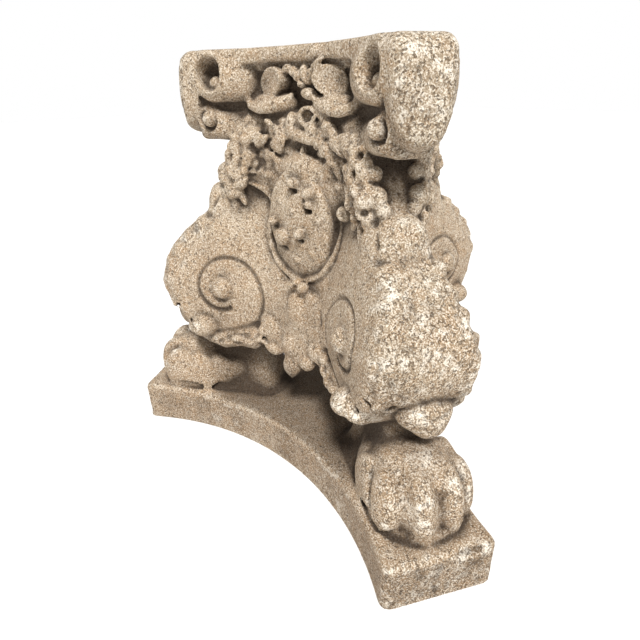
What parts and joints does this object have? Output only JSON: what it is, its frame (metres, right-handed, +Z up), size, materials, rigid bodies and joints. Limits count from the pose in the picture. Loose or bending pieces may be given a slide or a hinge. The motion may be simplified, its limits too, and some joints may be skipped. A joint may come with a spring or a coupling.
{
  "type": "tripod pedestal",
  "caption": "Cast stone tripod pedestal: scroll legs on lion paws between a hollow-sided plate and a hollow-sided top with rolled scrolls and worn shields, to carry a table top or an urn.",
  "frame": {"origin": "on the underside, on the pedestal's axis", "axes": "+Z up along the axis, -Y out of the middle of one carved face, +Y along the leg opposite that face"},
  "size_m": [0.5822, 0.5041, 0.5],
  "materials": {
    "cast_stone": "weathered and pitted, unsealed"
  },
  "bodies": {
    "root": {"cast_stone_pedestal": "cast_stone"}
  },
  "joints": []
}
